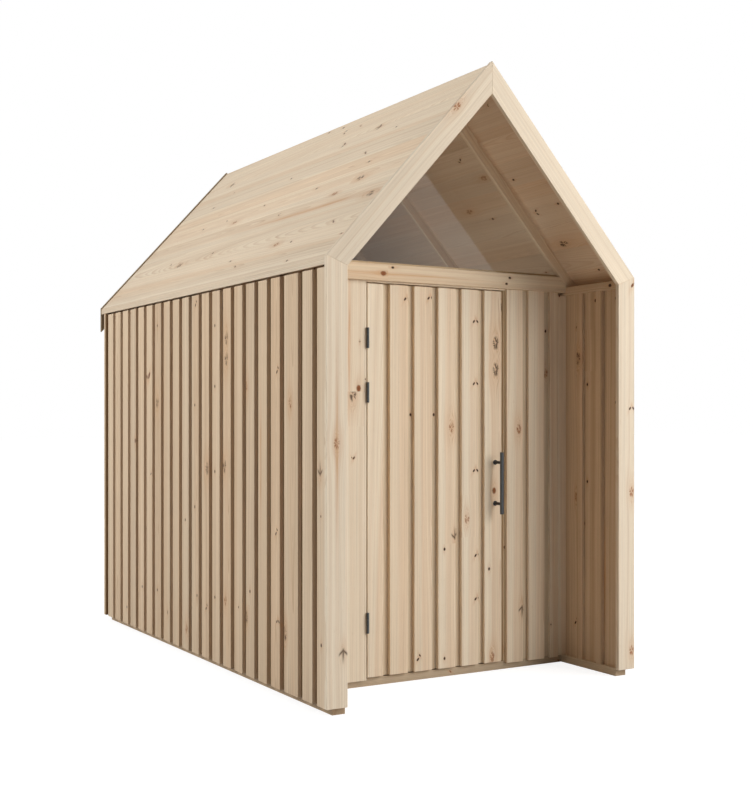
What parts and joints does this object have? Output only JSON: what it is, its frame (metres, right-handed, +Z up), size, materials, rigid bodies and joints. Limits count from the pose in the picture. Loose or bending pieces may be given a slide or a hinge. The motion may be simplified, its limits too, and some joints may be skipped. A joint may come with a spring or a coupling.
{
  "type": "garden shed",
  "caption": "Small wooden garden shed with board-on-board walls, a steep plank roof, an open porch in front of its hinged door and a triangular pane in the gable.",
  "frame": {"origin": "middle of the footprint, on the ground", "axes": "+Z up; the front with the porch and the door faces -Y; the ridge runs along Y"},
  "size_m": [1.674, 2.96, 2.828],
  "materials": {
    "cladding_wood": "planed, untreated",
    "door_wood": "planed, untreated",
    "trim_wood": "planed, untreated",
    "roof_wood": "planed, untreated",
    "frame_wood": "planed, untreated",
    "window_glass": "clear",
    "black_metal": "satin black"
  },
  "bodies": {
    "shed": {"left_cladding": "cladding_wood", "right_cladding": "cladding_wood", "rear_cladding": "cladding_wood", "front_cladding_left": "cladding_wood", "front_cladding_right": "cladding_wood", "door_casing": "cladding_wood", "left_porch_lining": "cladding_wood", "right_porch_lining": "cladding_wood", "left_portal_post": "trim_wood", "right_portal_post": "trim_wood", "left_portal_slope": "trim_wood", "right_portal_slope": "trim_wood", "left_rear_barge_board": "trim_wood", "right_rear_barge_board": "trim_wood", "left_roof_deck": "roof_wood", "right_roof_deck": "roof_wood", "left_sill": "frame_wood", "right_sill": "frame_wood", "front_sill": "frame_wood", "rear_sill": "frame_wood", "left_wall_studs": "frame_wood", "right_wall_studs": "frame_wood", "left_wall_noggins": "frame_wood", "right_wall_noggins": "frame_wood", "left_top_plate": "frame_wood", "right_top_plate": "frame_wood", "rear_wall_studs": "frame_wood", "rear_wall_noggins": "frame_wood", "rear_tie": "frame_wood", "rear_king_stud": "frame_wood", "door_posts": "frame_wood", "door_stops": "frame_wood", "door_head_lining": "frame_wood", "header_beam": "frame_wood", "gable_glass_beads": "frame_wood", "left_rafters": "frame_wood", "right_rafters": "frame_wood", "gable_glass": "window_glass", "jamb_hinge_leaves": "black_metal"},
    "door": {"door_boards": "door_wood", "door_ledges": "door_wood", "door_braces": "door_wood", "door_hinge_leaves": "black_metal", "handle_bar": "black_metal", "handle_standoffs": "black_metal"}
  },
  "joints": [
    {"name": "door_hinge", "type": "hinge", "parent": "shed", "child": "door", "pos_m": [-0.406, -1.071, 0], "axis": [0, 0, -1], "range_deg": [0, 110]}
  ]
}
